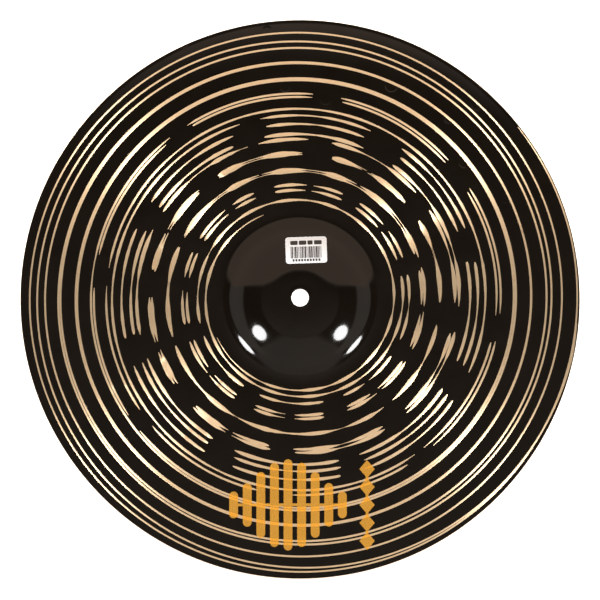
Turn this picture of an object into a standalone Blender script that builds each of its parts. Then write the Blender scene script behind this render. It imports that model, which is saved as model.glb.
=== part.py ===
"""A 16 inch crash cymbal, lying on its bell with its underside up.

Metres, +Z up. The origin is on the axis, where the crown's outer face rests on the ground.
The bronze is one hammered and turned sheet. A paper label is stuck inside the bell, and two ink
marks are printed on the bow. Each layer follows the underside at its own height above it.
"""

import math

import bmesh
import bpy

MM = 0.001

# The bronze sheet, from the hole out to the edge.
DIAMETER = 406.4 * MM
HOLE_DIAMETER = 12.7 * MM
SEAT_DIAMETER = 21.0 * MM
BELL_DIAMETER = 126.0 * MM
BELL_HEIGHT = 19.8 * MM
BELL_STEEPEST = 0.73  # where the bell is steepest, from the seat (0) to the bell's foot (1)
BOW_RISE = 14.5 * MM
CROWN_THICKNESS = 1.2 * MM
EDGE_THICKNESS = 0.8 * MM

# Thin layers on the underside. The gap keeps each one a solid of its own.
LAYER_GAP = 0.3 * MM
PAPER_THICKNESS = 0.25 * MM
INK_THICKNESS = 0.2 * MM

# The label inside the bell, seen from above the underside.
LABEL_WIDTH = 30.2 * MM
LABEL_HEIGHT = 19.6 * MM
LABEL_CORNER = 2.0 * MM
LABEL_TO_AXIS = 25.4 * MM
LABEL_OFFSET_X = 4.5 * MM
LABEL_TURN = math.radians(2.0)

# The bars printed on the label, between an upper and a lower line.
BARS_WIDTH = 22.0 * MM
BARS_HEIGHT = 8.4 * MM
BARS_DROP = 1.6 * MM
BARS_LINE = 0.5 * MM
BAR_WIDTHS = (0.6, 1.2, 0.6, 1.8, 0.6, 1.2, 1.2, 0.6, 1.8, 0.6, 0.6)  # mm, one bar each

# The emblem printed on the bow: upright bars on a thin line, as a picture of a sound.
EMBLEM_WIDTH = 85.6 * MM
EMBLEM_HEIGHT = 65.9 * MM
EMBLEM_TO_EDGE = 20.4 * MM
EMBLEM_OFFSET_X = -8.8 * MM
EMBLEM_BARS = 9
EMBLEM_BAR_WIDTH = 6.4 * MM
EMBLEM_LINE = 2.0 * MM
EMBLEM_SHORTEST = 0.24  # the end bars' height, as a share of the middle one's
BAR_END_STEPS = 6

# The smaller mark beside it: a row of diamonds on a thin line, running from centre to edge.
SIDE_MARK_WIDTH = 11.2 * MM
SIDE_MARK_LENGTH = 65.0 * MM
SIDE_MARK_GAP = 9.2 * MM
SIDE_MARK_LINE = 2.0 * MM
DIAMONDS = 5

# How finely the round shapes are divided.
TURN_STEPS = 64
BELL_STEPS = 12
BOW_STEPS = 8
CORNER_STEPS = 4

SINK = 5.0 * MM  # how far a cutter reaches past the layer it cuts
WELD = 0.01 * MM  # points closer together than this are one point

OUTER_RADIUS = DIAMETER / 2
HOLE_RADIUS = HOLE_DIAMETER / 2
SEAT_RADIUS = SEAT_DIAMETER / 2
BELL_RADIUS = BELL_DIAMETER / 2


# ---------------------------------------------------------------- the underside's curve

def bell_arcs():
    """The bell's greatest slope, and the radii of the bowl arc and of the arc at its foot."""
    width = BELL_RADIUS - SEAT_RADIUS
    steepest = 2 * math.atan2(BELL_HEIGHT, width)
    bowl = width * BELL_STEEPEST / math.sin(steepest)
    foot = width * (1 - BELL_STEEPEST) / math.sin(steepest)
    return steepest, bowl, foot


def bow_arc():
    """The radius of the arc that the bow follows from the bell's foot to the edge."""
    width = OUTER_RADIUS - BELL_RADIUS
    return (width ** 2 + BOW_RISE ** 2) / (2 * BOW_RISE)


def underside(radius):
    """Height above the seat, and slope angle, of the underside at this distance from the axis."""
    steepest, bowl, foot = bell_arcs()
    turn_radius = SEAT_RADIUS + bowl * math.sin(steepest)
    if radius <= SEAT_RADIUS:
        return CROWN_THICKNESS, 0.0
    if radius <= turn_radius:
        slope = math.asin((radius - SEAT_RADIUS) / bowl)
        return CROWN_THICKNESS + bowl * (1 - math.cos(slope)), slope
    if radius <= BELL_RADIUS:
        slope = math.asin((BELL_RADIUS - radius) / foot)
        return CROWN_THICKNESS + BELL_HEIGHT - foot * (1 - math.cos(slope)), slope
    slope = math.asin((radius - BELL_RADIUS) / bow_arc())
    height = CROWN_THICKNESS + BELL_HEIGHT + bow_arc() * (1 - math.cos(slope))
    return height, slope


def thickness(radius):
    """The sheet gets thinner evenly from the hole to the edge."""
    share = (radius - HOLE_RADIUS) / (OUTER_RADIUS - HOLE_RADIUS)
    return CROWN_THICKNESS + (EDGE_THICKNESS - CROWN_THICKNESS) * share


def raised(radius, lift):
    """The point this far above the underside, along the line square to it."""
    height, slope = underside(radius)
    return radius - lift * math.sin(slope), height + lift * math.cos(slope)


def stations():
    """The distances from the axis at which the turned shapes have a ring of points."""
    rings = [HOLE_RADIUS]
    for step in range(BELL_STEPS + 1):
        rings.append(SEAT_RADIUS + (BELL_RADIUS - SEAT_RADIUS) * step / BELL_STEPS)
    last = OUTER_RADIUS - EDGE_THICKNESS * math.sin(underside(OUTER_RADIUS)[1])
    for step in range(1, BOW_STEPS + 1):
        rings.append(BELL_RADIUS + (last - BELL_RADIUS) * step / BOW_STEPS)
    return rings


# ---------------------------------------------------------------- building tools

def clear_scene():
    for obj in list(bpy.data.objects):
        bpy.data.objects.remove(obj, do_unlink=True)


def new_collection(name):
    collection = bpy.data.collections.new(name)
    bpy.context.scene.collection.children.link(collection)
    return collection


def material(name, colour, metallic, roughness):
    made = bpy.data.materials.new(name)
    made.use_nodes = True
    shader = made.node_tree.nodes["Principled BSDF"]
    shader.inputs["Base Color"].default_value = (*colour, 1.0)
    shader.inputs["Metallic"].default_value = metallic
    shader.inputs["Roughness"].default_value = roughness
    made.diffuse_color = (*colour, 1.0)
    return made


def turned(name, profile, collection, surface):
    """A solid of revolution about Z, from a closed profile that runs down its outer side."""
    mesh = bpy.data.meshes.new(name)
    points = [(radius, 0.0, height) for radius, height in profile]
    edges = [(i, (i + 1) % len(points)) for i in range(len(points))]
    mesh.from_pydata(points, edges, [])
    mesh.materials.append(surface)
    obj = bpy.data.objects.new(name, mesh)
    collection.objects.link(obj)
    screw = obj.modifiers.new("Turn", "SCREW")
    screw.axis = "Z"
    screw.angle = math.tau
    screw.steps = TURN_STEPS
    screw.render_steps = TURN_STEPS
    screw.use_merge_vertices = True
    screw.merge_threshold = WELD
    screw.use_smooth_shade = True
    return obj


def layer_profile(rings, low, high):
    """The closed profile of a layer between two heights above the underside."""
    over = [raised(radius, high) for radius in rings]
    under = [raised(radius, low) for radius in reversed(rings)]
    return over + under


def prism(name, outlines, centre, turn, collection):
    """An upright cutter through the whole cymbal, from flat closed outlines round (0, 0)."""
    curve = bpy.data.curves.new(name, "CURVE")
    curve.dimensions = "2D"
    curve.fill_mode = "BOTH"
    curve.extrude = (BELL_HEIGHT + BOW_RISE) / 2 + SINK
    for outline in outlines:
        spline = curve.splines.new("POLY")
        spline.points.add(len(outline) - 1)
        for point, (x, y) in zip(spline.points, outline):
            point.co = (x, y, 0.0, 1.0)
        spline.use_cyclic_u = True
    flat = bpy.data.objects.new(name + "_outline", curve)
    collection.objects.link(flat)
    bpy.context.view_layer.update()
    evaluated = flat.evaluated_get(bpy.context.evaluated_depsgraph_get())
    mesh = bpy.data.meshes.new_from_object(evaluated)
    bpy.data.objects.remove(flat, do_unlink=True)
    shape = bmesh.new()
    shape.from_mesh(mesh)
    bmesh.ops.remove_doubles(shape, verts=shape.verts, dist=WELD)
    bmesh.ops.recalc_face_normals(shape, faces=shape.faces)
    shape.to_mesh(mesh)
    shape.free()
    cutter = bpy.data.objects.new(name, mesh)
    cutter.location = (centre[0], centre[1], (BELL_HEIGHT + BOW_RISE) / 2)
    cutter.rotation_euler = (0.0, 0.0, turn)
    cutter.hide_render = True
    cutter.display_type = "WIRE"
    collection.objects.link(cutter)
    return cutter


def cut_layer(name, rings, low, high, cutter, collection, surface):
    """The part of a turned layer that lies inside the cutter."""
    layer = turned(name, layer_profile(rings, low, high), collection, surface)
    boolean = layer.modifiers.new("Outline", "BOOLEAN")
    boolean.operation = "INTERSECT"
    boolean.object = cutter
    return layer


# ---------------------------------------------------------------- flat outlines

def rounded_rectangle(width, height, corner):
    outline = []
    for index, (side_x, side_y) in enumerate(((1, 1), (-1, 1), (-1, -1), (1, -1))):
        middle_x = side_x * (width / 2 - corner)
        middle_y = side_y * (height / 2 - corner)
        for step in range(CORNER_STEPS + 1):
            angle = (index + step / CORNER_STEPS) * math.pi / 2
            outline.append((middle_x + corner * math.cos(angle), middle_y + corner * math.sin(angle)))
    return outline


def rectangle(left, right, bottom, top):
    return [(left, bottom), (right, bottom), (right, top), (left, top)]


def bars_outlines():
    """An outer rectangle, and inside it the gaps that leave a row of bars."""
    half_width = BARS_WIDTH / 2
    half_height = BARS_HEIGHT / 2
    outlines = [rectangle(-half_width, half_width, -half_height, half_height)]
    free = BARS_WIDTH - MM * sum(BAR_WIDTHS)
    gap = free / (len(BAR_WIDTHS) - 1)
    left = -half_width
    for width in BAR_WIDTHS[:-1]:
        left += width * MM
        outlines.append(rectangle(left, left + gap, BARS_LINE - half_height, half_height - BARS_LINE))
        left += gap
    return outlines


def emblem_outline():
    """Upright bars with round ends on a thin level line, tallest in the middle."""
    pitch = (EMBLEM_WIDTH - EMBLEM_BAR_WIDTH) / (EMBLEM_BARS - 1)
    upper = []
    for bar in range(EMBLEM_BARS):
        middle = (bar - (EMBLEM_BARS - 1) / 2) * pitch
        wave = 0.5 + 0.5 * math.cos(math.tau * middle / (EMBLEM_WIDTH + pitch))
        height = EMBLEM_HEIGHT * (EMBLEM_SHORTEST + (1 - EMBLEM_SHORTEST) * wave)
        end = height / 2 - EMBLEM_BAR_WIDTH / 2
        if bar > 0:
            upper.append((middle - EMBLEM_BAR_WIDTH / 2, EMBLEM_LINE / 2))
        for step in range(BAR_END_STEPS + 1):
            angle = math.pi * (1 - step / BAR_END_STEPS)
            x = middle + EMBLEM_BAR_WIDTH / 2 * math.cos(angle)
            upper.append((x, end + EMBLEM_BAR_WIDTH / 2 * math.sin(angle)))
        if bar < EMBLEM_BARS - 1:
            upper.append((middle + EMBLEM_BAR_WIDTH / 2, EMBLEM_LINE / 2))
    lower = [(x, -y) for x, y in reversed(upper)]
    return upper + lower


def side_mark_outline():
    """Diamonds in a row along Y, joined by a thin line."""
    pitch = SIDE_MARK_LENGTH / DIAMONDS
    slant = (SIDE_MARK_WIDTH - SIDE_MARK_LINE) / SIDE_MARK_WIDTH
    right = []
    for index in range(DIAMONDS):
        middle = (index - (DIAMONDS - 1) / 2) * pitch
        reach = pitch / 2 * slant
        if index > 0:
            right.append((SIDE_MARK_LINE / 2, middle - reach))
        else:
            right.append((0.0, middle - pitch / 2))
        right.append((SIDE_MARK_WIDTH / 2, middle))
        if index < DIAMONDS - 1:
            right.append((SIDE_MARK_LINE / 2, middle + reach))
    right.append((0.0, SIDE_MARK_LENGTH / 2))
    left = [(-x, y) for x, y in reversed(right[1:-1])]
    return right + left


# ---------------------------------------------------------------- the pieces

def cymbal_plate(parts, bronze):
    """Bell, bow and edge in one bronze sheet, with the hole for the stand."""
    rings = stations()
    upper = [raised(radius, 0.0) for radius in rings]
    lower = [raised(radius, -thickness(radius)) for radius in reversed(rings)]
    return turned("cymbal_plate", upper + lower, parts, bronze)


def label_places():
    """The centres of the paper label and of the bars printed on it."""
    centre = (LABEL_OFFSET_X, LABEL_TO_AXIS + LABEL_HEIGHT / 2)
    bars = (
        centre[0] + BARS_DROP * math.sin(LABEL_TURN),
        centre[1] - BARS_DROP * math.cos(LABEL_TURN),
    )
    return centre, bars


def label(parts, cutters, paper, black_ink):
    rings = stations()
    centre, bars_centre = label_places()
    outline = rounded_rectangle(LABEL_WIDTH, LABEL_HEIGHT, LABEL_CORNER)
    cutter = prism("label_cutter", [outline], centre, LABEL_TURN, cutters)
    top = LAYER_GAP + PAPER_THICKNESS
    cut_layer("barcode_label", rings, LAYER_GAP, top, cutter, parts, paper)
    bars_cutter = prism("bars_cutter", bars_outlines(), bars_centre, LABEL_TURN, cutters)
    low = top + LAYER_GAP
    cut_layer("label_bars", rings, low, low + INK_THICKNESS, bars_cutter, parts, black_ink)


def emblem(parts, cutters, ink):
    centre = (EMBLEM_OFFSET_X, EMBLEM_TO_EDGE + EMBLEM_HEIGHT / 2 - OUTER_RADIUS)
    cutter = prism("emblem_cutter", [emblem_outline()], centre, 0.0, cutters)
    top = LAYER_GAP + INK_THICKNESS
    cut_layer("print_emblem", stations(), LAYER_GAP, top, cutter, parts, ink)


def side_mark(parts, cutters, ink):
    """The row of diamonds, level with the emblem and clear of its last bar."""
    across = EMBLEM_OFFSET_X + EMBLEM_WIDTH / 2 + SIDE_MARK_GAP + SIDE_MARK_WIDTH / 2
    centre = (across, EMBLEM_TO_EDGE + EMBLEM_HEIGHT / 2 - OUTER_RADIUS)
    cutter = prism("side_mark_cutter", [side_mark_outline()], centre, 0.0, cutters)
    top = LAYER_GAP + INK_THICKNESS
    cut_layer("print_side_mark", stations(), LAYER_GAP, top, cutter, parts, ink)


def build():
    clear_scene()
    parts = new_collection("crash_cymbal")
    cutters = new_collection("cutters")
    bronze = material("dark_bronze", (0.030, 0.022, 0.015), 0.9, 0.25)
    paper = material("label_paper", (0.85, 0.85, 0.83), 0.0, 0.7)
    black_ink = material("black_ink", (0.02, 0.02, 0.02), 0.0, 0.5)
    amber_ink = material("amber_ink", (0.48, 0.23, 0.04), 0.0, 0.35)
    cymbal_plate(parts, bronze)
    label(parts, cutters, paper, black_ink)
    emblem(parts, cutters, amber_ink)
    side_mark(parts, cutters, amber_ink)


build()
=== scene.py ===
"""The looks of a 16 inch crash cymbal that lies on its bell with its underside up.

The sheet is cast bronze under a glossy black-brown coat. A lathe tool has run over the finished
coat in two inward spirals. Near the edge it leaves an unbroken bright line. Over the hammered
middle it only bites where the hammer has raised the sheet, so the line breaks into dashes.
"""

import math
import random

import bmesh
import bpy
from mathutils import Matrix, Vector


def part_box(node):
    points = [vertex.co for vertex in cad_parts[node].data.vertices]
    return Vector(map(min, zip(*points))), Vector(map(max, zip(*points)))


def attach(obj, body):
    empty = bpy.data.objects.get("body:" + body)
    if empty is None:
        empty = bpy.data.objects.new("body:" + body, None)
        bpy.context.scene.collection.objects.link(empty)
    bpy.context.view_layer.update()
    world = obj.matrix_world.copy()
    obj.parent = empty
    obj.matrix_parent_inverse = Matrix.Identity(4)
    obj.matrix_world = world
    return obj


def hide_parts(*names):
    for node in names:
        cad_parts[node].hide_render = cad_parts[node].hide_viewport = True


MM = 0.001
WELD = 0.001 * MM  # points closer together than this are one point
RAY_START = 0.2  # a ray that looks for the sheet starts this far above or below the floor
RAY_LENGTH = 1.0

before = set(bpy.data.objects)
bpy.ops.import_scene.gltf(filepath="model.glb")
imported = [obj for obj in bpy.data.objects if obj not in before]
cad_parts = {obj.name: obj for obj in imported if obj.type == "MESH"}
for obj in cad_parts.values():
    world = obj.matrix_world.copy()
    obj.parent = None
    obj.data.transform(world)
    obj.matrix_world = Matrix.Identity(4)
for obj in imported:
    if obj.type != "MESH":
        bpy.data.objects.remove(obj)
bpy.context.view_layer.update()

# ---------------------------------------------------------------- sizes, in metres

PLATE_LOW, PLATE_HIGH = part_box("cymbal_plate")
OUTER_RADIUS = PLATE_HIGH.x
HOLE_RADIUS = min(v.co.xy.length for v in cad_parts["cymbal_plate"].data.vertices)
SEAT_RADIUS = 10.5 * MM
BELL_RADIUS = 63.0 * MM
BELL_HEIGHT = 19.8 * MM
BELL_STEEPEST = 0.73  # where the bell is steepest, from the seat (0) to the bell's foot (1)
CROWN_THICKNESS = 1.2 * MM
EDGE_THICKNESS = 0.8 * MM
BOW_RISE = PLATE_HIGH.z - PLATE_LOW.z - CROWN_THICKNESS - BELL_HEIGHT

BARE_RIM = 0.25 * MM  # this much of the edge has lost its coat

# How finely the sheet is divided, round the axis and outwards.
TURN_STEPS = 512
BELL_STATIONS = 26
BOW_STATIONS = 60
ROUND_STEPS = 4

# The lathe's two passes in mm: the radius when each first passes 12 o'clock, the loss of radius in a
# turn, the turns made before that and in all, a lag about two turns later, and a steeper run-in.
PASSES = {
    "first": {"radius": 193.3, "pitch": 11.07, "early": 0.86, "turns": 12.6, "lag": 0.0,
              "run_in": 0.0},
    "second": {"radius": 187.6, "pitch": 13.62, "early": 0.74, "turns": 9.73, "lag": 2.3,
               "run_in": 10.0},
}
LATHE_CENTRE = (-0.31 * MM, 0.65 * MM, 0.0)
RIM_MARGIN = 1.4 * MM
STOP_RADIUS = 66.7 * MM
STEPS_PER_TURN = 540
CUT_HALF_WIDTH = 1.2 * MM  # of a full cut
LEAST_HALF_WIDTH = 0.12 * MM  # no cut is drawn below this

# The hammer's pattern, in degrees clockwise from 12 o'clock and in mm. It repeats eight times a
# turn. A hollow has an angle, about how far it reaches to each side, and rings. A ring has its middle
# radius, its half length outwards, and its depth as a share of a full cut.
REPEAT = 45.0
BLOW_RADIUS = 9.0
BLOW_SPACING = 22.5
BLOW_AT = 15.5
HAMMERED_TO = (130.0, 146.0)
RIDGE_AT = 106.0
HOLLOWS = (
    {"at": 29.0, "reach": 6.8, "rings": ((126.0, 9.5, 1.25), (82.5, 9.0, 1.25), (104.0, 16.0, 0.42))},
    {"at": 8.7, "reach": 8.0, "rings": ((146.0, 6.5, 0.95), (108.5, 10.0, 1.3), (87.0, 14.0, 0.42))},
)


# ---------------------------------------------------------------- building tools

def add(tree, kind, sources=None, **settings):
    """Adds one node. Sources are values, sockets, or nodes whose first output is meant."""
    node = tree.nodes.new(kind)
    for name, value in settings.items():
        setattr(node, name, value)
    named = sources.items() if isinstance(sources, dict) else enumerate(sources or ())
    for place, source in named:
        if isinstance(source, bpy.types.Node):
            source = source.outputs[0]
        if isinstance(source, bpy.types.NodeSocket):
            tree.links.new(source, node.inputs[place])
        elif source is not None:
            node.inputs[place].default_value = source
    return node


def colour(code):
    """A linear colour from an sRGB hex code."""
    parts = [int(code[i:i + 2], 16) / 255 for i in (0, 2, 4)]
    return [c / 12.92 if c <= 0.04045 else ((c + 0.055) / 1.055) ** 2.4 for c in parts] + [1.0]


def new_tree(name, inputs, outputs):
    """A geometry node tree with named inputs and outputs, and its input and output nodes."""
    tree = bpy.data.node_groups.new(name, "GeometryNodeTree")
    for side, sockets in (("INPUT", inputs), ("OUTPUT", outputs)):
        for label, kind in sockets.items():
            tree.interface.new_socket(label, in_out=side, socket_type="NodeSocket" + kind)
    return tree, tree.nodes.new("NodeGroupInput"), tree.nodes.new("NodeGroupOutput")


def grow(obj, tree, **values):
    """Puts a geometry node tree on an object and sets its named inputs."""
    modifier = obj.modifiers.new(tree.name, "NODES")
    modifier.node_group = tree
    sockets = {s.name: s.identifier for s in tree.interface.items_tree if s.in_out == "INPUT"}
    for name, value in values.items():
        modifier[sockets[name.replace("_", " ")]] = value


def finished(obj, name, sharp_degrees=None):
    """A plain mesh object from what the modifiers make. The first object is removed."""
    bpy.context.view_layer.update()
    evaluated = obj.evaluated_get(bpy.context.evaluated_depsgraph_get())
    mesh = bpy.data.meshes.new_from_object(evaluated)
    mesh.name = name
    bpy.data.objects.remove(obj, do_unlink=True)
    piece = bpy.data.objects.new(name, mesh)
    bpy.context.scene.collection.objects.link(piece)
    mesh.shade_smooth()
    if sharp_degrees is not None:
        mesh.set_sharp_from_angle(angle=math.radians(sharp_degrees))
    return piece


def mesh_object(name, vertices, edges, faces):
    mesh = bpy.data.meshes.new(name)
    mesh.from_pydata(vertices, edges, faces)
    obj = bpy.data.objects.new(name, mesh)
    bpy.context.scene.collection.objects.link(obj)
    return obj


def new_material(name):
    made = bpy.data.materials.new(name)
    made.use_nodes = True
    tree = made.node_tree
    return made, tree, tree.nodes["Principled BSDF"], tree.nodes["Material Output"]


# ---------------------------------------------------------------- materials

def black_coat():
    """Black-brown baked lacquer over bronze: glossy, with the round faces of a hammer under it."""
    made, tree, shader, _ = new_material("black_baked_lacquer")
    shader.inputs["IOR"].default_value = 1.45
    shader.inputs["Specular IOR Level"].default_value = 0.25
    place = add(tree, "ShaderNodeTexCoord").outputs["Object"]

    # The coat is a little thinner in patches some 25 mm across, where the bronze warms it.
    patch = add(tree, "ShaderNodeTexNoise", {"Vector": place, "Scale": 1 / (25 * MM), "Detail": 3.0})
    shade = add(tree, "ShaderNodeMix", {0: patch, 6: colour("080604"), 7: colour("110D09")},
                data_type="RGBA")
    tree.links.new(shade.outputs[2], shader.inputs["Base Color"])
    smear = add(tree, "ShaderNodeTexNoise", {"Vector": place, "Scale": 1 / (8 * MM), "Detail": 4.0})
    rough = add(tree, "ShaderNodeMapRange", {0: smear, 3: 0.05, 4: 0.11})
    tree.links.new(rough.outputs[0], shader.inputs["Roughness"])

    # Hammer faces about 9 mm across lie some 25 mm apart, on the bow only.
    flat = add(tree, "ShaderNodeVectorMath", (place, (1.0, 1.0, 0.0)), operation="MULTIPLY")
    radius = add(tree, "ShaderNodeVectorMath", (flat,), operation="LENGTH").outputs["Value"]
    on_bow = add(tree, "ShaderNodeMapRange", {0: radius, 1: 66 * MM, 2: 74 * MM})
    near = add(tree, "ShaderNodeTexVoronoi", {"Vector": flat, "Scale": 1 / (25 * MM), "Randomness": 1.0})
    face = add(tree, "ShaderNodeMapRange", {0: near, 1: 0.16, 2: 0.2, 3: 1.0, 4: 0.0},
               interpolation_type="SMOOTHSTEP")
    struck = add(tree, "ShaderNodeMath", (face, on_bow), operation="MULTIPLY")
    dents = add(tree, "ShaderNodeBump", {"Strength": 1.0, "Distance": 0.07 * MM, "Height": struck})
    peel = add(tree, "ShaderNodeTexNoise", {"Vector": place, "Scale": 1 / (1.4 * MM), "Detail": 1.0})
    bump = add(tree, "ShaderNodeBump", {"Strength": 0.02, "Distance": 0.1 * MM, "Height": peel,
                                        "Normal": dents})
    tree.links.new(bump.outputs[0], shader.inputs["Normal"])
    return made


def cut_bronze():
    """Bare turned bronze: fine tool marks run round the axis, so light spreads across them."""
    made, tree, shader, _ = new_material("turned_bronze")
    shader.inputs["Metallic"].default_value = 0.8
    shader.inputs["Anisotropic"].default_value = 1.0
    place = add(tree, "ShaderNodeTexCoord").outputs["Object"]
    grain = add(tree, "ShaderNodeTexNoise", {"Vector": place, "Scale": 1 / (4 * MM), "Detail": 2.0})
    shade = add(tree, "ShaderNodeMix", {0: grain, 6: colour("E2C7A0"), 7: colour("EDD8B6")},
                data_type="RGBA")
    tree.links.new(shade.outputs[2], shader.inputs["Base Color"])
    rough = add(tree, "ShaderNodeMapRange", {0: grain, 3: 0.39, 4: 0.45})
    tree.links.new(rough.outputs[0], shader.inputs["Roughness"])
    outward = add(tree, "ShaderNodeVectorMath", (place, (1.0, 1.0, 0.0)), operation="MULTIPLY")
    tangent = add(tree, "ShaderNodeVectorMath", (outward,), operation="NORMALIZE")
    tree.links.new(tangent.outputs[0], shader.inputs["Tangent"])
    return made


def amber_ink():
    """Thin screen-printed amber ink: it colours what shines through it and scatters some light."""
    made, tree, shader, output = new_material("amber_screen_ink")
    place = add(tree, "ShaderNodeTexCoord").outputs["Object"]
    cloud = add(tree, "ShaderNodeTexNoise", {"Vector": place, "Scale": 1 / (11 * MM), "Detail": 3.0})
    shade = add(tree, "ShaderNodeMix", {0: cloud, 6: colour("DCA544"), 7: colour("E8B150")},
                data_type="RGBA")
    tree.links.new(shade.outputs[2], shader.inputs["Base Color"])
    rough = add(tree, "ShaderNodeMapRange", {0: cloud, 3: 0.32, 4: 0.45})
    tree.links.new(rough.outputs[0], shader.inputs["Roughness"])
    clear = add(tree, "ShaderNodeBsdfTransparent", {0: colour("FFF3B4")})
    film = add(tree, "ShaderNodeMixShader", (0.28, clear, shader))
    tree.links.new(film.outputs[0], output.inputs["Surface"])
    return made


def label_paper():
    """Coated white label paper: matt, with a faint fibre grain."""
    made, tree, shader, _ = new_material("coated_label_paper")
    place = add(tree, "ShaderNodeTexCoord").outputs["Object"]
    fibre = add(tree, "ShaderNodeTexNoise", {"Vector": place, "Scale": 1 / (1.1 * MM), "Detail": 3.0})
    shade = add(tree, "ShaderNodeMix", {0: fibre, 6: colour("CFD6DC"), 7: colour("D8DFE5")},
                data_type="RGBA")
    tree.links.new(shade.outputs[2], shader.inputs["Base Color"])
    rough = add(tree, "ShaderNodeMapRange", {0: fibre, 3: 0.5, 4: 0.65})
    tree.links.new(rough.outputs[0], shader.inputs["Roughness"])
    bump = add(tree, "ShaderNodeBump", {"Strength": 0.1, "Distance": 0.05 * MM, "Height": fibre})
    tree.links.new(bump.outputs[0], shader.inputs["Normal"])
    return made


def label_ink():
    """Black thermal print: nearly matt, a little uneven."""
    made, tree, shader, _ = new_material("thermal_print_black")
    place = add(tree, "ShaderNodeTexCoord").outputs["Object"]
    speck = add(tree, "ShaderNodeTexNoise", {"Vector": place, "Scale": 1 / (0.7 * MM), "Detail": 2.0})
    shade = add(tree, "ShaderNodeMix", {0: speck, 6: colour("151413"), 7: colour("2B2927")},
                data_type="RGBA")
    tree.links.new(shade.outputs[2], shader.inputs["Base Color"])
    rough = add(tree, "ShaderNodeMapRange", {0: speck, 3: 0.5, 4: 0.7})
    tree.links.new(rough.outputs[0], shader.inputs["Roughness"])
    return made


# ---------------------------------------------------------------- the hammer's pattern

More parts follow.
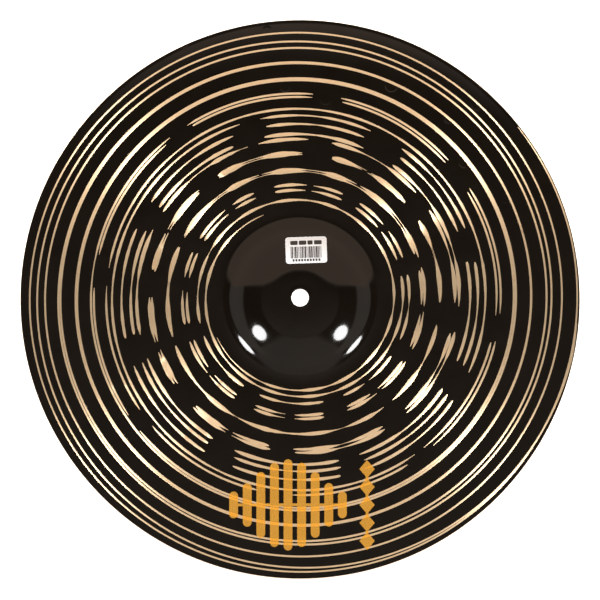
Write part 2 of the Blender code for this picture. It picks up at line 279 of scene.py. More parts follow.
def hammering():
    """At a place on the bow: how far the sheet is raised, and the share of a full cut there.

    It works in mm. Its two noises are some 29 mm and 9 mm across.
    """
    tree, given, out = new_tree("Hammering", {}, {"Cut": "Float", "Raised": "Float"})
    place = add(tree, "GeometryNodeInputPosition")
    flat = add(tree, "ShaderNodeVectorMath", (place, (1 / MM, 1 / MM, 0.0)), operation="MULTIPLY")
    axes = add(tree, "ShaderNodeSeparateXYZ", (flat,))
    radius = add(tree, "ShaderNodeVectorMath", (flat,), operation="LENGTH").outputs["Value"]
    clockwise = add(tree, "ShaderNodeMath", (axes.outputs[0], axes.outputs[1]), operation="ARCTAN2")
    degrees = add(tree, "ShaderNodeMath", (clockwise,), operation="DEGREES")
    drift = add(tree, "ShaderNodeTexNoise", {"Vector": flat, "Scale": 0.035, "Detail": 1.0})
    strayed = add(tree, "ShaderNodeMapRange", {0: drift, 1: 0.2, 2: 0.8, 3: -3.0, 4: 3.0})
    angle = add(tree, "ShaderNodeMath", (degrees, strayed), operation="ADD")

    past_blow = add(tree, "ShaderNodeMath", (angle, BLOW_AT), operation="SUBTRACT")
    share = add(tree, "ShaderNodeMath", (past_blow, math.tau / BLOW_SPACING), operation="MULTIPLY")
    wave = add(tree, "ShaderNodeMath", (share,), operation="COSINE")
    grain = add(tree, "ShaderNodeTexNoise", {"Vector": flat, "Scale": 0.11, "Detail": 1.0})
    uneven = add(tree, "ShaderNodeMapRange", {0: grain, 1: 0.3, 2: 0.7, 3: 0.66, 4: 0.94})
    swell = add(tree, "ShaderNodeMath", (wave, 0.33, uneven), operation="MULTIPLY_ADD")
    off_ridge = add(tree, "ShaderNodeMath", (radius, RIDGE_AT), operation="SUBTRACT")
    apart = add(tree, "ShaderNodeMath", (off_ridge,), operation="ABSOLUTE")
    ridge = add(tree, "ShaderNodeMapRange", {0: apart, 1: 6.0, 2: 22.0, 3: 1.05, 4: 0.8},
                interpolation_type="SMOOTHSTEP")
    hammered = add(tree, "ShaderNodeMath", (swell, ridge), operation="MULTIPLY")
    outside = add(tree, "ShaderNodeMapRange", {0: radius, 1: HAMMERED_TO[0], 2: HAMMERED_TO[1]},
                  interpolation_type="SMOOTHSTEP")
    steady = add(tree, "ShaderNodeMapRange", {0: radius, 1: 170.0, 2: 203.0, 3: 0.62, 4: 0.46})
    cut = add(tree, "ShaderNodeMix", {0: outside, 2: hammered, 3: steady}).outputs[0]

    blows = None
    for hollow in HOLLOWS:
        past = add(tree, "ShaderNodeMath", (angle, hollow["at"]), operation="SUBTRACT")
        aside = add(tree, "ShaderNodeMath", (past, REPEAT / 2, -REPEAT / 2), operation="WRAP")
        lean = add(tree, "ShaderNodeMapRange", {0: aside, 1: -1.5, 2: 1.5, 3: 0.75 / hollow["reach"],
                                                4: 1.25 / hollow["reach"]})
        near = add(tree, "ShaderNodeMath", (aside, lean), operation="MULTIPLY")
        square = add(tree, "ShaderNodeMath", (near, near), operation="MULTIPLY")
        bowl = add(tree, "ShaderNodeMath", (1.0, square), operation="SUBTRACT", use_clamp=True)
        dip = add(tree, "ShaderNodeMath", (bowl, bowl), operation="MULTIPLY")
        for middle, half_length, depth in hollow["rings"]:
            out_by = add(tree, "ShaderNodeMath", (radius, middle), operation="SUBTRACT")
            part = add(tree, "ShaderNodeMath", (out_by, half_length), operation="DIVIDE")
            fourth = add(tree, "ShaderNodeMath", (part, 4.0), operation="POWER")
            ring = add(tree, "ShaderNodeMath", (1.0, fourth), operation="SUBTRACT", use_clamp=True)
            deep = add(tree, "ShaderNodeMath", (ring, depth), operation="MULTIPLY")
            sunk = add(tree, "ShaderNodeMath", (dip, deep), operation="MULTIPLY")
            cut = add(tree, "ShaderNodeMath", (cut, sunk), operation="SUBTRACT")
            if depth > 0.5:
                ahead = add(tree, "ShaderNodeMath", (aside, 3.5), operation="SUBTRACT")
                arc = add(tree, "ShaderNodeMath", (ahead, radius), operation="MULTIPLY")
                along = add(tree, "ShaderNodeMath", (arc, math.pi / 180, -BLOW_RADIUS),
                            operation="MULTIPLY_ADD")
                from_blow = add(tree, "ShaderNodeCombineXYZ", (along, out_by))
                reach = add(tree, "ShaderNodeVectorMath", (from_blow,), operation="LENGTH")
                face = add(tree, "ShaderNodeMapRange", {
                    0: reach.outputs["Value"], 1: BLOW_RADIUS - 2.5, 2: BLOW_RADIUS, 3: 0.2, 4: 0.0,
                }, interpolation_type="SMOOTHSTEP")
                if blows is None:
                    blows = face
                else:
                    blows = add(tree, "ShaderNodeMath", (blows, face), operation="ADD")

    tree.links.new(cut.outputs[0], out.inputs["Cut"])

    both = add(tree, "ShaderNodeMath", (cut, 0.15, blows), operation="MULTIPLY_ADD")
    foot = add(tree, "ShaderNodeMapRange", {0: radius, 1: 64.0, 2: 74.0}, interpolation_type="SMOOTHSTEP")
    rim = add(tree, "ShaderNodeMapRange", {0: radius, 1: 184.0, 2: 196.0, 3: 1.0, 4: 0.0},
              interpolation_type="SMOOTHSTEP")
    inside = add(tree, "ShaderNodeMath", (foot, rim), operation="MULTIPLY")
    height = add(tree, "ShaderNodeMath", (both, inside), operation="MULTIPLY")
    raised = add(tree, "ShaderNodeMath", (height, MM), operation="MULTIPLY")
    tree.links.new(raised.outputs[0], out.inputs["Raised"])
    tree.nodes.remove(given)
    return tree


# ---------------------------------------------------------------- the bronze sheet

def underside(radius):
    """Height above the seat, and slope angle, of the underside at this distance from the axis."""
    width = BELL_RADIUS - SEAT_RADIUS
    steepest = 2 * math.atan2(BELL_HEIGHT, width)
    bowl = width * BELL_STEEPEST / math.sin(steepest)
    foot = width * (1 - BELL_STEEPEST) / math.sin(steepest)
    if radius <= SEAT_RADIUS:
        return CROWN_THICKNESS, 0.0
    if radius <= SEAT_RADIUS + width * BELL_STEEPEST:
        slope = math.asin((radius - SEAT_RADIUS) / bowl)
        return CROWN_THICKNESS + bowl * (1 - math.cos(slope)), slope
    if radius <= BELL_RADIUS:
        slope = math.asin((BELL_RADIUS - radius) / foot)
        return CROWN_THICKNESS + BELL_HEIGHT - foot * (1 - math.cos(slope)), slope
    bow_width = OUTER_RADIUS - BELL_RADIUS
    bow = (bow_width ** 2 + BOW_RISE ** 2) / (2 * BOW_RISE)
    slope = math.asin((radius - BELL_RADIUS) / bow)
    return CROWN_THICKNESS + BELL_HEIGHT + bow * (1 - math.cos(slope)), slope


def raised(radius, lift):
    """The point this far off the underside, square to it. Below zero it lies in the sheet."""
    height, slope = underside(radius)
    return radius - lift * math.sin(slope), height + lift * math.cos(slope)


def stations(start, end, count):
    return [start + (end - start) * step / count for step in range(count)]


def plate_section():
    """The closed outline of the sheet's cross-section, down its outer side, with rounded edges."""
    crown = CROWN_THICKNESS / 2
    edge = EDGE_THICKNESS / 2
    last = OUTER_RADIUS - edge - edge * math.sin(underside(OUTER_RADIUS)[1])
    rings = [HOLE_RADIUS + crown / 2]
    rings += stations(SEAT_RADIUS, BELL_RADIUS, BELL_STATIONS)
    rings += stations(BELL_RADIUS, last, BOW_STATIONS) + [last]
    spread = OUTER_RADIUS - HOLE_RADIUS
    section = [raised(r, 0.0) for r in rings]
    _, slope = underside(last)
    middle = raised(last, -edge)
    for step in range(1, ROUND_STEPS * 2):
        turn = math.pi / 2 - math.pi * step / (ROUND_STEPS * 2) + slope
        section.append((middle[0] + edge * math.cos(turn), middle[1] + edge * math.sin(turn)))
    for r in reversed(rings):
        thick = CROWN_THICKNESS + (EDGE_THICKNESS - CROWN_THICKNESS) * (r - HOLE_RADIUS) / spread
        section.append(raised(r, -thick))
    for step in range(1, ROUND_STEPS * 2):
        turn = -math.pi / 2 - math.pi * step / (ROUND_STEPS * 2)
        section.append((rings[0] + crown / 2 * math.cos(turn), crown + crown * math.sin(turn)))
    return section


def hammer_tree(pattern, materials):
    """Raises the sheet by the hammer's pattern, and coats it up to the bare rim."""
    tree, given, out = new_tree("Hammered sheet", {"Sheet": "Geometry", "Bare rim": "Float"},
                                {"Sheet": "Geometry"})
    blows = add(tree, "GeometryNodeGroup", node_tree=pattern)
    up = add(tree, "ShaderNodeCombineXYZ", {2: blows.outputs["Raised"]})
    moved = add(tree, "GeometryNodeSetPosition", {"Geometry": given.outputs["Sheet"], "Offset": up})
    real = add(tree, "GeometryNodeRealizeInstances", (moved,))
    coated = add(tree, "GeometryNodeSetMaterial", {"Geometry": real, "Material": materials[0]})
    place = add(tree, "GeometryNodeInputPosition")
    flat = add(tree, "ShaderNodeVectorMath", (place, (1.0, 1.0, 0.0)), operation="MULTIPLY")
    radius = add(tree, "ShaderNodeVectorMath", (flat,), operation="LENGTH").outputs["Value"]
    far = add(tree, "FunctionNodeCompare", {0: radius, 1: given.outputs["Bare rim"]},
              operation="GREATER_THAN")
    bare = add(tree, "GeometryNodeSetMaterial", {"Geometry": coated, "Selection": far,
                                                 "Material": materials[1]})
    tree.links.new(bare.outputs[0], out.inputs[0])
    return tree


def bronze_sheet(pattern, coat, bronze):
    """Bell, bow and edge in one: the cross-section turned round the axis, then hammered."""
    section = plate_section()
    edges = [(i, (i + 1) % len(section)) for i in range(len(section))]
    turned = mesh_object("sheet_section", [(r, 0.0, z) for r, z in section], edges, [])
    screw = turned.modifiers.new("Turn", "SCREW")
    screw.steps = TURN_STEPS
    screw.render_steps = TURN_STEPS
    screw.use_merge_vertices = True
    screw.merge_threshold = WELD
    grow(turned, hammer_tree(pattern, (coat, bronze)), Bare_rim=OUTER_RADIUS - BARE_RIM)
    return finished(turned, "bronze_sheet", 50)


# ---------------------------------------------------------------- lathe cuts

def cut_tree(pattern, bronze):
    """One pass of the lathe tool: a spiral laid on the sheet, cut where the sheet is raised."""
    inputs = {"Geometry": "Geometry", "Sheet": "Object", "Start radius": "Float",
              "End radius": "Float", "Turns": "Float", "Early turns": "Float", "Lag": "Float",
              "Run in": "Float", "Centre": "Vector", "Rim radius": "Float", "Stop radius": "Float",
              "Steps": "Int", "Half width": "Float", "Side": "Float"}
    tree, given, out = new_tree("Lathe cut", inputs, {"Cuts": "Geometry"})
    spiral = add(tree, "GeometryNodeCurveSpiral", {
        "Resolution": given.outputs["Steps"], "Rotations": given.outputs["Turns"],
        "Start Radius": given.outputs["Start radius"], "End Radius": given.outputs["End radius"],
        "Height": 0.0, "Reverse": False})
    before = add(tree, "ShaderNodeMath", (given.outputs["Early turns"], math.tau, math.pi / 2),
                 operation="MULTIPLY_ADD")
    turn = add(tree, "ShaderNodeCombineXYZ", {2: before})
    rotated = add(tree, "GeometryNodeTransform", {"Geometry": spiral, "Rotation": turn})

    # The tool runs in fast at the rim, and lags for a while about two turns later.
    along = add(tree, "GeometryNodeSplineParameter").outputs["Factor"]
    made = add(tree, "ShaderNodeMath", (along, given.outputs["Turns"]), operation="MULTIPLY")
    turns = add(tree, "ShaderNodeMath", (made, given.outputs["Early turns"]), operation="SUBTRACT")
    first = add(tree, "ShaderNodeMath", (turns, 0.0), operation="MINIMUM")
    early = add(tree, "ShaderNodeMath", (first, first), operation="MULTIPLY")
    lead = add(tree, "ShaderNodeMath", (early, given.outputs["Run in"]), operation="MULTIPLY")
    later = add(tree, "ShaderNodeMapRange", {0: turns, 1: -0.6, 2: 2.0},
                interpolation_type="SMOOTHSTEP")
    earlier = add(tree, "ShaderNodeMapRange", {0: turns, 1: 4.6, 2: 2.0},
                  interpolation_type="SMOOTHSTEP")
    middle = add(tree, "ShaderNodeMath", (later, earlier), operation="MULTIPLY")
    lag = add(tree, "ShaderNodeMath", (middle, given.outputs["Lag"]), operation="MULTIPLY")
    shift = add(tree, "ShaderNodeMath", (lead, lag), operation="SUBTRACT")

    # It works round its own centre, starts just inside the rim, and stays at its last radius.
    place = add(tree, "GeometryNodeInputPosition")
    ahead = add(tree, "ShaderNodeVectorMath", (place,), operation="NORMALIZE")
    push = add(tree, "ShaderNodeVectorMath", {0: ahead, "Scale": shift}, operation="SCALE")
    offset = add(tree, "ShaderNodeVectorMath", (push, given.outputs["Centre"]), operation="ADD")
    centred = add(tree, "GeometryNodeSetPosition", {"Geometry": rotated, "Offset": offset})
    radius = add(tree, "ShaderNodeVectorMath", (place,), operation="LENGTH").outputs["Value"]
    kept = add(tree, "ShaderNodeClamp", {0: radius, 1: given.outputs["Stop radius"],
                                         2: given.outputs["Rim radius"]})
    held = add(tree, "ShaderNodeVectorMath", {0: ahead, "Scale": kept}, operation="SCALE")
    circled = add(tree, "GeometryNodeSetPosition", {"Geometry": centred, "Position": held})

    # How wide the cut is, with a run-in and a run-out at the two ends of the pass.
    run_in = add(tree, "ShaderNodeMapRange", {0: along, 1: 0.0, 2: 0.004, 3: 0.2},
                 interpolation_type="SMOOTHSTEP")
    run_out = add(tree, "ShaderNodeMapRange", {0: along, 1: 1.0, 2: 0.99},
                  interpolation_type="SMOOTHSTEP")
    ends = add(tree, "ShaderNodeMath", (run_in, run_out), operation="MULTIPLY")
    blows = add(tree, "GeometryNodeGroup", node_tree=pattern)
    share = add(tree, "ShaderNodeMath", (blows.outputs["Cut"], ends), operation="MULTIPLY")
    half = add(tree, "ShaderNodeMath", (share, given.outputs["Half width"]), operation="MULTIPLY")
    stored = add(tree, "GeometryNodeStoreNamedAttribute", {"Geometry": circled, "Name": "half_width",
                                                           "Value": half})

    # The spiral becomes loose edges, loses the stretches with no cut, and is a curve for each dash.
    wire = add(tree, "GeometryNodeCurveToMesh", {"Curve": stored})
    width = add(tree, "GeometryNodeInputNamedAttribute", {"Name": "half_width"})
    missed = add(tree, "FunctionNodeCompare", {0: width, 1: LEAST_HALF_WIDTH}, operation="LESS_THAN")
    pieces = add(tree, "GeometryNodeDeleteGeometry", {"Geometry": wire, "Selection": missed})
    dashes = add(tree, "GeometryNodeMeshToCurve", {"Mesh": pieces})

    # Each point drops onto the sheet, and the cut stands square to it there.
    sheet = add(tree, "GeometryNodeObjectInfo", {"Object": given.outputs["Sheet"]})
    reach = add(tree, "ShaderNodeMath", (given.outputs["Side"], RAY_START), operation="MULTIPLY")
    above = add(tree, "ShaderNodeCombineXYZ", {2: reach})
    start = add(tree, "ShaderNodeVectorMath", (place, above), operation="ADD")
    back = add(tree, "ShaderNodeVectorMath", {0: above, "Scale": -1.0}, operation="SCALE")
    hit = add(tree, "GeometryNodeRaycast", {
        "Target Geometry": sheet.outputs["Geometry"], "Source Position": start,
        "Ray Direction": back, "Ray Length": RAY_LENGTH})
    laid = add(tree, "GeometryNodeSetPosition", {"Geometry": dashes,
                                                 "Position": hit.outputs["Hit Position"]})
    upright = add(tree, "GeometryNodeSetCurveNormal", {"Curve": laid, "Normal": hit.outputs["Hit Normal"]},
                  mode="FREE")

    # The cross-section, in half widths: a shallow hollow between two edges, closed underneath.
    line = add(tree, "GeometryNodeCurvePrimitiveLine", {"Start": (0.0, -1.5, 0.0), "End": (0.0, 1.5, 0.0)})
    points = add(tree, "GeometryNodeResampleCurve", {"Curve": line, "Count": 7})
    across = add(tree, "ShaderNodeSeparateXYZ", (add(tree, "GeometryNodeInputPosition"),))
    size = add(tree, "ShaderNodeMath", (across.outputs[1],), operation="ABSOLUTE")
    side = add(tree, "ShaderNodeClamp", {0: across.outputs[1], 1: -1.0, 2: 1.0})
    hollow = add(tree, "ShaderNodeMath", (side, side), operation="MULTIPLY")
    top = add(tree, "ShaderNodeMapRange", {0: hollow, 3: 0.04, 4: 0.2})
    under = add(tree, "FunctionNodeCompare", {0: size, 1: 1.2}, operation="GREATER_THAN")
    height = add(tree, "ShaderNodeMix", {0: under, 2: top, 3: -0.1})
    corner = add(tree, "ShaderNodeCombineXYZ", {0: height.outputs[0], 1: side})
    shaped = add(tree, "GeometryNodeSetPosition", {"Geometry": points, "Position": corner})
    closed = add(tree, "GeometryNodeSetSplineCyclic", {"Geometry": shaped, "Cyclic": True})

    solid = add(tree, "GeometryNodeCurveToMesh", {"Curve": upright, "Profile Curve": closed,
                                                  "Scale": width, "Fill Caps": True})
    real = add(tree, "GeometryNodeRealizeInstances", (solid,))
    metal = add(tree, "GeometryNodeSetMaterial", {"Geometry": real, "Material": bronze})
    tree.links.new(metal.outputs[0], out.inputs[0])
    return tree


def lathe_cuts(sheet, tree):
    """Both passes on both faces of the sheet. Returns the four pieces."""
    made = []
    for face, side in (("under", 1.0), ("top", -1.0)):
        for name, way in PASSES.items():
            begin = way["radius"] + way["pitch"] * way["early"]
            finish = begin - way["pitch"] * way["turns"]
            seed = mesh_object("cut_seed", [(0.0, 0.0, 0.0)], [], [])
            grow(seed, tree, Sheet=sheet, Start_radius=begin * MM, End_radius=finish * MM,
                 Turns=way["turns"], Early_turns=way["early"], Lag=way["lag"] * MM,
                 Run_in=way["run_in"] * MM, Centre=LATHE_CENTRE,
                 Rim_radius=OUTER_RADIUS - RIM_MARGIN, Stop_radius=STOP_RADIUS, Steps=STEPS_PER_TURN,
                 Half_width=CUT_HALF_WIDTH, Side=side)
            made.append(finished(seed, f"{name}_pass_{face}", 40))
    return made


# ---------------------------------------------------------------- label and printed marks

def flat_shape(name, outlines):
    """A flat filled mesh in the XY plane, from closed outlines."""
    curve = bpy.data.curves.new(name, "CURVE")
    curve.dimensions = "2D"
    curve.fill_mode = "BOTH"
    for outline in outlines:
        spline = curve.splines.new("POLY")
        spline.points.add(len(outline) - 1)
        for point, (x, y) in zip(spline.points, outline):
            point.co = (x, y, 0.0, 1.0)
        spline.use_cyclic_u = True
    flat = bpy.data.objects.new(name, curve)
    bpy.context.scene.collection.objects.link(flat)
    bpy.context.view_layer.update()
    mesh = bpy.data.meshes.new_from_object(flat.evaluated_get(bpy.context.evaluated_depsgraph_get()))
    bpy.data.objects.remove(flat, do_unlink=True)
    obj = bpy.data.objects.new(name + "_flat", mesh)
    bpy.context.scene.collection.objects.link(obj)
    return obj


def slice_mesh(obj, low, high, spacing):
    """Cuts a flat mesh along a square net, so that it can bend."""
    shape = bmesh.new()
    shape.from_mesh(obj.data)
    for axis in (0, 1):
        place = low[axis] + spacing
        while place < high[axis]:
            point = [0.0, 0.0, 0.0]
            point[axis] = place
            normal = [0.0, 0.0, 0.0]
            normal[axis] = 1.0
            bmesh.ops.bisect_plane(shape, geom=shape.verts[:] + shape.edges[:] + shape.faces[:],
                                   plane_co=point, plane_no=normal)
            place += spacing
    bmesh.ops.remove_doubles(shape, verts=shape.verts, dist=WELD)
    bmesh.ops.recalc_face_normals(shape, faces=shape.faces)
    if sum(face.normal.z for face in shape.faces) < 0:
        bmesh.ops.reverse_faces(shape, faces=shape.faces)
    shape.to_mesh(obj.data)
    shape.free()


def drape_tree():
    """Lays a flat mesh on the sheet at a small height above it."""
    tree, given, out = new_tree("Drape", {"Geometry": "Geometry", "Sheet": "Object", "Lift": "Float",
                                          "Surface": "Material"}, {"Laid": "Geometry"})
    sheet = add(tree, "GeometryNodeObjectInfo", {"Object": given.outputs["Sheet"]})
    place = add(tree, "GeometryNodeInputPosition")
    above = add(tree, "ShaderNodeVectorMath", (place, (0.0, 0.0, RAY_START)), operation="ADD")
    hit = add(tree, "GeometryNodeRaycast", {
        "Target Geometry": sheet.outputs["Geometry"], "Source Position": above,
        "Ray Direction": (0.0, 0.0, -1.0), "Ray Length": RAY_LENGTH})
    lift = add(tree, "ShaderNodeVectorMath", {0: hit.outputs["Hit Normal"],
                                              "Scale": given.outputs["Lift"]}, operation="SCALE")
    target = add(tree, "ShaderNodeVectorMath", (hit.outputs["Hit Position"], lift), operation="ADD")
    laid = add(tree, "GeometryNodeSetPosition", {"Geometry": given.outputs["Geometry"], "Position": target})
    real = add(tree, "GeometryNodeRealizeInstances", (laid,))
    faced = add(tree, "GeometryNodeSetMaterial", {"Geometry": real, "Material": given.outputs["Surface"]})
    tree.links.new(faced.outputs[0], out.inputs[0])
    return tree


def layer(name, outlines, spacing, sheet, tree, surface, lift, thickness):
    """A thin closed layer of paper or ink that follows the sheet."""
    flat = flat_shape(name, outlines)
    xs = [x for outline in outlines for x, _ in outline]
    ys = [y for outline in outlines for _, y in outline]
    slice_mesh(flat, (min(xs), min(ys)), (max(xs), max(ys)), spacing)
    grow(flat, tree, Sheet=sheet, Lift=lift, Surface=surface)
    wall = flat.modifiers.new("Thickness", "SOLIDIFY")
    wall.thickness = thickness
    wall.offset = 1.0
    return finished(flat, name, 40)


def moved(outline, centre, turn=0.0):
    """The outline turned about the origin, then carried to the centre."""
    cos, sin = math.cos(turn), math.sin(turn)
    return [(centre[0] + x * cos - y * sin, centre[1] + x * sin + y * cos) for x, y in outline]


def rounded_box(width, height, corner, steps=5):
    outline = []
    for index, (side_x, side_y) in enumerate(((1, 1), (-1, 1), (-1, -1), (1, -1))):
        for step in range(steps + 1):
            angle = (index + step / steps) * math.pi / 2
            outline.append((side_x * (width / 2 - corner) + corner * math.cos(angle),
                            side_y * (height / 2 - corner) + corner * math.sin(angle)))
    return outline


def centre_of(node):
    low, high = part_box(node)
    return ((low.x + high.x) / 2, (low.y + high.y) / 2)


# The label, its print and the ink. A lift is the height above the sheet, and a net is the spacing
# at which a layer can bend. The ink is lifted clear of the raised cuts that it crosses.
LABEL_TURN = math.radians(2.0)
LABEL_SIZE = (30.2 * MM, 19.6 * MM)
LABEL_CORNER = 2.0 * MM
LABEL_NET = 1.6 * MM
PAPER_LIFT = 0.05 * MM
PAPER_THICKNESS = 0.12 * MM
PRINT_LIFT = 0.19 * MM
PRINT_THICKNESS = 0.02 * MM
INK_NET = 3.0 * MM
INK_LIFT = 0.3 * MM
INK_THICKNESS = 0.03 * MM


def paper_label(sheet, tree, paper, ink):
    """The paper label inside the bell, and the print on it."""
    centre = centre_of("barcode_label")
    outline = moved(rounded_box(*LABEL_SIZE, LABEL_CORNER), centre, LABEL_TURN)
    label = layer("paper_label", [outline], LABEL_NET, sheet, tree, paper, PAPER_LIFT,
                  PAPER_THICKNESS)
    bars = layer("label_print", label_marks(centre), LABEL_NET, sheet, tree, ink, PRINT_LIFT,
                 PRINT_THICKNESS)
    return label, bars


def label_marks(centre):
    """Upright bars with a row of dashes over and under them, in place of any wording.

    A mark is its middle, measured from the label's centre, its size and its corner, all in mm.
    """
    draw = random.Random(7)
    marks = []
    left = -11.4
    while left < 10.9:
        width = draw.choice((0.4, 0.4, 0.6, 0.8, 1.1))
        marks.append(((left + width / 2, -1.6), (width, 8.6), 0.02))
        left += width + draw.choice((0.35, 0.42, 0.6))
    for place, width in ((-8.8, 5.4), (-2.5, 5.5), (3.0, 3.8), (8.7, 5.6)):
        marks.append(((place, 5.6), (width, 3.1), 0.6))
    for step in range(10):
        marks.append(((-9.5 + 2.1 * step, -7.4), (1.4, 1.8), 0.3))
    outlines = []
    for (x, y), (width, height), corner in marks:
        box = moved(rounded_box(width * MM, height * MM, corner * MM, 2), (x * MM, y * MM))
        outlines.append(moved(box, centre, LABEL_TURN))
    return outlines


EMBLEM_BARS = 9
EMBLEM_BAR_WIDTH = 6.4 * MM
EMBLEM_LINE = 2.0 * MM
EMBLEM_SHORTEST = 0.24  # what the bars shrink towards outwards, as a share of the middle one
BAR_END_STEPS = 12
DIAMONDS = 5


def emblem_outline():
    """Upright bars with round ends on a thin level line, tallest in the middle."""
    low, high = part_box("print_emblem")
    width, height = high.x - low.x, high.y - low.y
    pitch = (width - EMBLEM_BAR_WIDTH) / (EMBLEM_BARS - 1)
    upper = []
    for bar in range(EMBLEM_BARS):
        middle = (bar - (EMBLEM_BARS - 1) / 2) * pitch
        wave = 0.5 + 0.5 * math.cos(math.tau * middle / (width + pitch))
        end = height * (EMBLEM_SHORTEST + (1 - EMBLEM_SHORTEST) * wave) / 2 - EMBLEM_BAR_WIDTH / 2
        if bar > 0:
            upper.append((middle - EMBLEM_BAR_WIDTH / 2, EMBLEM_LINE / 2))
        for step in range(BAR_END_STEPS + 1):
            angle = math.pi * (1 - step / BAR_END_STEPS)
            upper.append((middle + EMBLEM_BAR_WIDTH / 2 * math.cos(angle),
                          end + EMBLEM_BAR_WIDTH / 2 * math.sin(angle)))
        if bar < EMBLEM_BARS - 1:
            upper.append((middle + EMBLEM_BAR_WIDTH / 2, EMBLEM_LINE / 2))
    return moved(upper + [(x, -y) for x, y in reversed(upper)], centre_of("print_emblem"))


def side_outline():
    """Diamonds in a row along Y, joined by a thin line."""
    low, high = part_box("print_side_mark")
    width, length = high.x - low.x, high.y - low.y
    pitch = length / DIAMONDS
    reach = pitch / 2 * (width - EMBLEM_LINE) / width
    right = [(0.0, -length / 2)]
    for index in range(DIAMONDS):
        middle = (index - (DIAMONDS - 1) / 2) * pitch
        if index > 0:
            right.append((EMBLEM_LINE / 2, middle - reach))
        right.append((width / 2, middle))
        if index < DIAMONDS - 1:
            right.append((EMBLEM_LINE / 2, middle + reach))
    right.append((0.0, length / 2))
    outline = right + [(-x, y) for x, y in reversed(right[1:-1])]
    return moved(outline, centre_of("print_side_mark"))


# ---------------------------------------------------------------- studio

def floor():
    """A backlit white table, which leaves no shadow round the cymbal."""
    bpy.ops.mesh.primitive_plane_add(size=60.0, location=(0.0, 0.0, 0.0))
    table = bpy.context.object
    table.name = "light_table"
    made, _, shader, _ = new_material("light_table_white")
    shader.inputs["Base Color"].default_value = colour("F4F4F4")
    shader.inputs["Roughness"].default_value = 0.9
    shader.inputs["Emission Color"].default_value = colour("FFFFFF")
    shader.inputs["Emission Strength"].default_value = 0.75
    table.data.materials.append(made)


def softboxes():
    """Two oval softboxes above the cymbal, beyond it to the left and right, facing its middle."""
    off_axis = math.radians(56.0)
    distance = 1.3
    for side in (-1, 1):
        light = bpy.data.lights.new("softbox", "AREA")
        light.shape = "ELLIPSE"
        light.size = 0.36
        light.size_y = 0.42
        light.energy = 21.0
        lamp = bpy.data.objects.new("softbox", light)
        bearing = math.radians(52.0) * side
        lamp.location = (distance * math.sin(off_axis) * math.sin(bearing),
                         distance * math.sin(off_axis) * math.cos(bearing),
                         distance * math.cos(off_axis))
        lamp.rotation_euler = (-lamp.location).to_track_quat("-Z", "Y").to_euler()
        bpy.context.scene.collection.objects.link(lamp)


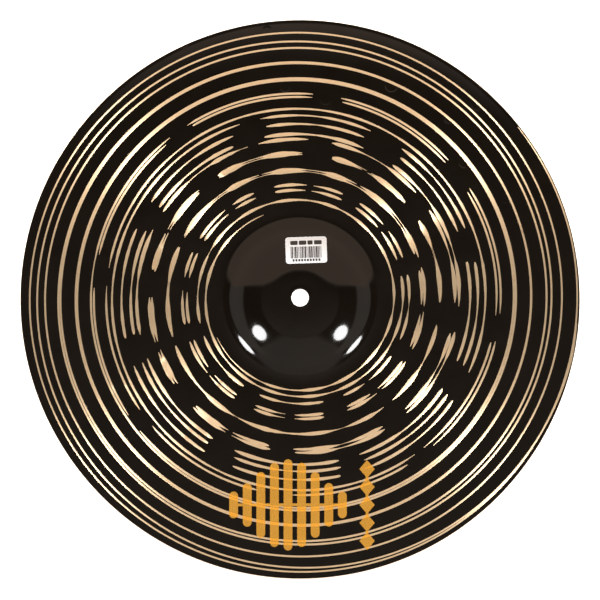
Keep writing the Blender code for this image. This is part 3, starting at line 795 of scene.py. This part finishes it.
def room():
    """What the cymbal mirrors: an overhead that darkens towards the near side, bright far and side
    walls with dark between them, and a pale card on the near side.
    """
    world = bpy.data.worlds.new("studio")
    bpy.context.scene.world = world
    world.use_nodes = True
    tree = world.node_tree
    tree.nodes.clear()

    # Where each direction meets a level ceiling, to the side and ahead, in heights of the ceiling.
    way = add(tree, "ShaderNodeSeparateXYZ", (add(tree, "ShaderNodeTexCoord").outputs["Generated"],))
    up = add(tree, "ShaderNodeMath", (way.outputs[2], 0.03), operation="MAXIMUM")
    slant = add(tree, "ShaderNodeMath", (way.outputs[0], up), operation="DIVIDE")
    aside = add(tree, "ShaderNodeMath", (slant,), operation="ABSOLUTE")
    ahead = add(tree, "ShaderNodeMath", (way.outputs[1], up), operation="DIVIDE")
    level = add(tree, "ShaderNodeCombineXYZ", (slant, ahead))
    from_top = add(tree, "ShaderNodeVectorMath", (level,), operation="LENGTH").outputs["Value"]
    forward = add(tree, "ShaderNodeMath", (ahead, aside), operation="SUBTRACT")

    # The card's inner edge has a notch in the middle and falls back towards its ends.
    card_dip = add(tree, "ShaderNodeMapRange", {0: aside, 1: 0.05, 2: 0.45, 3: -0.34, 4: -0.24},
                   interpolation_type="SMOOTHSTEP")
    card_end = add(tree, "ShaderNodeMapRange", {0: aside, 1: 0.7, 2: 5.0, 3: -0.05, 4: -0.9})
    card_edge = add(tree, "ShaderNodeMath", (card_dip, card_end), operation="ADD")
    past_card = add(tree, "ShaderNodeMath", (card_edge, ahead), operation="SUBTRACT")

    # Each area covers the ones before it: far wall, side walls, overhead, card's soft edge, card.
    overhead = add(tree, "ShaderNodeMapRange", {0: ahead, 1: -0.3, 2: 0.5, 3: 0.03, 4: 0.5})
    light = 0.01
    for source, start, end, value in (
        (forward, 0.15, 0.5, 0.85),
        (aside, 1.9, 2.3, 1.1),
        (from_top, 0.76, 0.69, overhead),
        (past_card, -0.06, 0.08, 1.2),
        (past_card, 0.0, 0.04, 1.6),
    ):
        mask = add(tree, "ShaderNodeMapRange", {0: source, 1: start, 2: end},
                   interpolation_type="SMOOTHSTEP")
        light = add(tree, "ShaderNodeMix", {0: mask, 2: light, 3: value}).outputs[0]
    tint = add(tree, "ShaderNodeMix", {0: mask, 6: colour("FFF4EA"), 7: colour("FFE0C8")},
               data_type="RGBA")
    shade = add(tree, "ShaderNodeBackground", {0: tint.outputs[2], 1: light})
    add(tree, "ShaderNodeOutputWorld", (shade,))


def camera():
    """Almost straight above the cymbal, and far enough away to see it nearly without perspective."""
    data = bpy.data.cameras.new("camera")
    distance = 5.0
    view_width = 435.7 * MM
    lean = math.radians(2.7)
    aim = Vector((-0.05 * MM, -0.07 * MM, PLATE_HIGH.z))
    data.sensor_width = 36.0
    data.lens = data.sensor_width * distance / view_width
    obj = bpy.data.objects.new("camera", data)
    obj.location = aim + distance * Vector((0.0, math.sin(lean), math.cos(lean)))
    obj.rotation_euler = (-lean, 0.0, 0.0)
    bpy.context.scene.collection.objects.link(obj)
    bpy.context.scene.camera = obj


# ---------------------------------------------------------------- the scene

def build():
    bpy.context.scene.view_settings.view_transform = "Standard"
    camera()
    floor()
    softboxes()
    room()
    coat, bronze, amber = black_coat(), cut_bronze(), amber_ink()
    paper, ink = label_paper(), label_ink()
    pattern = hammering()
    sheet = bronze_sheet(pattern, coat, bronze)
    cuts = lathe_cuts(sheet, cut_tree(pattern, bronze))
    drape = drape_tree()
    label, bars = paper_label(sheet, drape, paper, ink)
    emblem = layer("amber_emblem", [emblem_outline()], INK_NET, sheet, drape, amber, INK_LIFT,
                   INK_THICKNESS)
    side = layer("amber_side_mark", [side_outline()], INK_NET, sheet, drape, amber, INK_LIFT,
                 INK_THICKNESS)
    for piece, slot in ((sheet, "dark_bronze"), (label, "label_paper"), (bars, "black_ink"),
                        (emblem, "amber_ink"), (side, "amber_ink"),
                        *((cut, "dark_bronze") for cut in cuts)):
        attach(piece, "root")
    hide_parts("cymbal_plate")
    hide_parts("barcode_label")
    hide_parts("label_bars")
    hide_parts("print_emblem")
    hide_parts("print_side_mark")


build()
